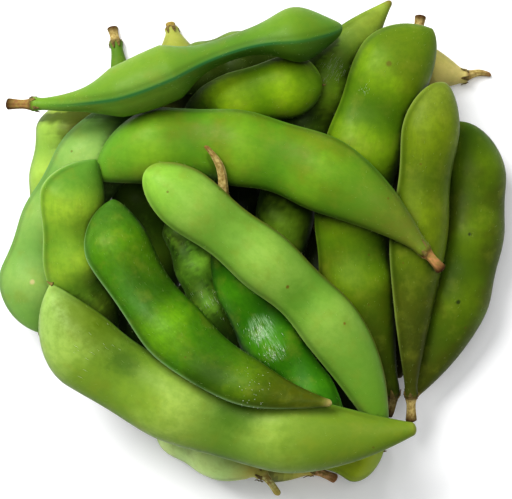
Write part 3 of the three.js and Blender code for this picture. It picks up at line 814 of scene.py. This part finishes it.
# Down: each hair is a three-sided spike. It stands in the given cell of the skin, leans along the pod
# more than it stands up, and its foot is sunk a little under the surface.
def down(grid, row, column, length, thick, lift, random):
    count = len(row)
    foot = grid[row, column]
    forward = grid[row + 1, column] - foot
    around = grid[row, (column + 1) % grid.shape[1]] - foot
    blend = random.random((count, 2, 1))
    foot = foot + forward * blend[:, 0] + around * blend[:, 1]
    forward = forward / np.linalg.norm(forward, axis=1, keepdims=True)
    normal = np.cross(around, forward)
    normal = normal / np.linalg.norm(normal, axis=1, keepdims=True)
    lean = normal * lift * random.uniform(0.5, 1.5, (count, 1))
    lean = lean + forward * random.uniform(0.5, 1, (count, 1)) + random.normal(0, 0.4 * lift, (count, 3))
    lean = lean / np.linalg.norm(lean, axis=1, keepdims=True)
    one = np.cross(lean, normal)
    one = one / np.linalg.norm(one, axis=1, keepdims=True)
    other = np.cross(lean, one)
    radius = thick * random.uniform(0.7, 1.3, (count, 1))
    foot = foot - 0.5 * normal * thick
    corners = [foot + radius * (np.cos(a) * one + np.sin(a) * other) for a in np.radians((0, 120, 240))]
    tip = foot + lean * length * random.uniform(0.6, 1.5, (count, 1))
    return np.stack([*corners, tip], axis=1).reshape(-1, 3)


# The four faces of each spike of four corners.
def spikeFaces(count):
    start = (4 * np.arange(count))[:, None]
    sides = [start + corners for corners in ([0, 1, 3], [1, 2, 3], [2, 0, 3], [0, 2, 1])]
    return np.concatenate(sides).tolist()


# The highest point of the skin within a millimetre or so of a place in plan.
def topAt(grid, place, within=1.2):
    near = np.hypot(grid[..., 0] - place[0], grid[..., 1] - place[1]) < within
    points = grid[near]
    return points[points[:, 2].argmax()]


# Cells of the skin drawn at random around a point, each as likely as the bell of its distance.
def cellsNear(grid, centre, reach, count, random):
    inner = grid[coat["stalkRows"]:-coat["beakRows"]]
    weight = bell(np.linalg.norm(inner - centre, axis=-1), 0, reach).ravel()
    chosen = random.choice(weight.size, count, p=weight / weight.sum())
    return chosen // grid.shape[1] + coat["stalkRows"], chosen % grid.shape[1]


# Makes an object at the origin from points in millimetres, kept at or above the table.
def meshPiece(name, points, faces, materials):
    points = np.array(points) * mm
    points[:, 2] = np.maximum(points[:, 2], 0)
    mesh = bpy.data.meshes.new(name)
    mesh.from_pydata(points.tolist(), [], faces)
    for material in materials:
        mesh.materials.append(material)
    mesh.shade_smooth()
    piece = bpy.data.objects.new(name, mesh)
    bpy.context.scene.collection.objects.link(piece)
    return piece


# Writes one number, or one vector, for each vertex under a name.
def paint(mesh, name, values, kind="FLOAT"):
    layer = mesh.attributes.new(name, kind, "POINT")
    part = "vector" if kind == "FLOAT_VECTOR" else "value"
    layer.data.foreach_set(part, np.asarray(values, float).ravel())


# Each pod is laid where its solid is, and then every skin is painted and made.
seed = 100
laid = []
bodies = []
shift = (0.0, 0.0)
for number, row in enumerate(pods):
    pod = {**common, "sag": 0, **row}
    pod["length"] = math.dist(pod["stalk"], pod["tip"])
    pod.setdefault("beak", form["beakDrop"] if pod["bow"] < 0 else -form["beakDrop"])
    look = {**plain, **looks[pod["name"]]}
    pose, miss, sag = readPose(pod, shift)
    shift = tuple(pose[3:])
    pod["sag"] = sag
    random = np.random.default_rng(seed + number)
    local, ends, painted, grain = finePod(pod, look, random)
    bodies.append(placed(pod, local, pose))
    laid.append((pod, look, pose, random, ends, painted, grain))
    print(pod["name"], "fits its solid to", round(miss, 4), "mm, sag", sag)

fibre = dryFibre()
heights = heightMap(bodies)
hairs = []
glintHairs = []
for body, (pod, look, pose, random, ends, painted, grain) in zip(bodies, laid):
    painted["open"] = openness(body, heights)
    rows, columns = body.shape[:2]
    marks = [dict(mark, centre=topAt(body, mark["at"])) for mark in scarsShadeAndSheen.get(pod["name"], [])]
    points = [body.reshape(-1, 3), placed(pod, ends, pose)]
    faces = sweptFaces(rows, columns)
    skinFaces = len(faces)
    trims = [nib(pod, look, random)] if look["nib"] > 0 else []
    if pod["stem"] > 0:
        for k in range(calyx["lobes"]):
            trims.append(lobe(pod, 2 * np.pi * (k + random.uniform(-0.2, 0.2)) / calyx["lobes"], random))
    for trimPoints, trimRows in trims:
        faces += sweptFaces(trimRows, tubeSides, sum(len(p) for p in points))
        points.append(placed(pod, trimPoints, pose))
    points = np.concatenate(points)
    material = podSkin(pod["name"] + "_green_skin", look, marks)
    piece = meshPiece(pod["name"] + "_skin", points, faces, [material, fibre])
    trimCount = len(points) - rows * columns - 2  # the points of the style and the calyx, left unpainted
    for field, values in painted.items():
        flat = values.ravel()
        paint(piece.data, field, np.concatenate([flat, [flat[0], flat[-1]], np.zeros(trimCount)]))
    flat = np.concatenate([grain.reshape(-1, 3), grain[:1, 0], grain[-1:, 0], np.zeros((trimCount, 3))])
    paint(piece.data, "grain", flat, "FLOAT_VECTOR")
    piece.data.polygons.foreach_set("material_index", (np.arange(len(faces)) >= skinFaces).astype(int))
    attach(piece, "root")
    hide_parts(pod["name"])
    hairRows = random.integers(coat["stalkRows"], rows - coat["beakRows"], coat["count"])
    hairColumns = random.integers(0, columns, coat["count"])
    hairs.append(down(body, hairRows, hairColumns, coat["length"], coat["thick"], coat["lift"], random))
    for glint in glints.get(pod["name"], []):
        cells = cellsNear(body, topAt(body, glint["at"]), glint["reach"], glint["count"], random)
        lift = glint.get("lift", 0.12)
        glintHairs.append(down(body, *cells, glint["length"], glint["thick"], lift, random))
    print(pod["name"], "skin of", len(faces), "faces")

dull = sum(len(group) for group in hairs) // 4  # the plain hairs come first
hairs = np.concatenate(hairs + glintHairs)
count = len(hairs) // 4
paleHair = downHair("pale_down", "93ad55", "c6d49c")
# The matted strokes are drawn white: a painted glint.
glintHair = downHair("white_down_painted_glint", "dce8c4", "ffffff")
fuzz = meshPiece("pod_down", hairs, spikeFaces(count), [paleHair, glintHair])
fuzz.data.polygons.foreach_set("material_index", (np.arange(4 * count) % count >= dull).astype(int))
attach(fuzz, "root")
print("hairs", count)

table = dict(half=3.0, top=-0.0002, colour="f8f8f8", roughness=0.9, glow=0.12)
room = dict(colour="f4f6fa", strength=0.2)

# A plain pale table, matt, with a faint even glow, in a plain pale room.
around = ((-1, -1), (1, -1), (1, 1), (-1, 1))
corners = [(x * table["half"], y * table["half"], table["top"]) for x, y in around]
tableMesh = bpy.data.meshes.new("table_top")
tableMesh.from_pydata(corners, [], [(0, 1, 2, 3)])
floor = bpy.data.objects.new("table_top", tableMesh)
bpy.context.scene.collection.objects.link(floor)
tableMaterial, tableTree, tableShader = newMaterial("pale_matt_table")
tableShader.inputs["Base Color"].default_value = linear(table["colour"])
tableShader.inputs["Roughness"].default_value = table["roughness"]
tableShader.inputs["Emission Color"].default_value = linear("ffffff")
tableShader.inputs["Emission Strength"].default_value = table["glow"]
tableMesh.materials.append(tableMaterial)

world = bpy.data.worlds.new("studio")
bpy.context.scene.world = world
world.use_nodes = True
world.node_tree.nodes["Background"].inputs["Color"].default_value = linear(room["colour"])
world.node_tree.nodes["Background"].inputs["Strength"].default_value = room["strength"]


# A square area light of a size in metres that looks at the middle of the heap.
def softLight(name, place, size, watts):
    data = bpy.data.lights.new(name, "AREA")
    data.size = size
    data.energy = watts
    lamp = bpy.data.objects.new(name, data)
    lamp.location = place
    lamp.rotation_euler = (Vector((0, 0, 0.015)) - Vector(place)).to_track_quat("-Z", "Y").to_euler()
    bpy.context.scene.collection.objects.link(lamp)


softLight("window", (-0.4, 0.4, 0.75), 0.45, 8.0)
softLight("overhead", (0.05, 0.1, 1.0), 0.6, 3.0)
print("table, room and lights made")

# The camera stands almost straight above, so that one millimetre at the heap's middle is 5.3 pixels.
view = dict(elevation=86, distance=430, pixelsPerMm=5.3, imageWidth=512, sensor=36,
            target=(0.32, -0.73, 15), nearest=0.01)
cameraData = bpy.data.cameras.new("camera")
cameraData.sensor_width = view["sensor"]
cameraData.lens = view["pixelsPerMm"] * view["distance"] / view["imageWidth"] * view["sensor"]
cameraData.clip_start = view["nearest"]
camera = bpy.data.objects.new("camera", cameraData)
bpy.context.scene.collection.objects.link(camera)
target = Vector(view["target"]) * mm
above = math.radians(view["elevation"])
camera.location = target + Vector((0, -math.cos(above), math.sin(above))) * view["distance"] * mm
camera.rotation_euler = (target - camera.location).to_track_quat("-Z", "Y").to_euler()
bpy.context.scene.camera = camera
print("camera at", view["distance"], "mm from the heap")

# A little more contrast than the plain transform gives.
bpy.context.scene.view_settings.view_transform = "Standard"
bpy.context.scene.view_settings.look = "Medium High Contrast"
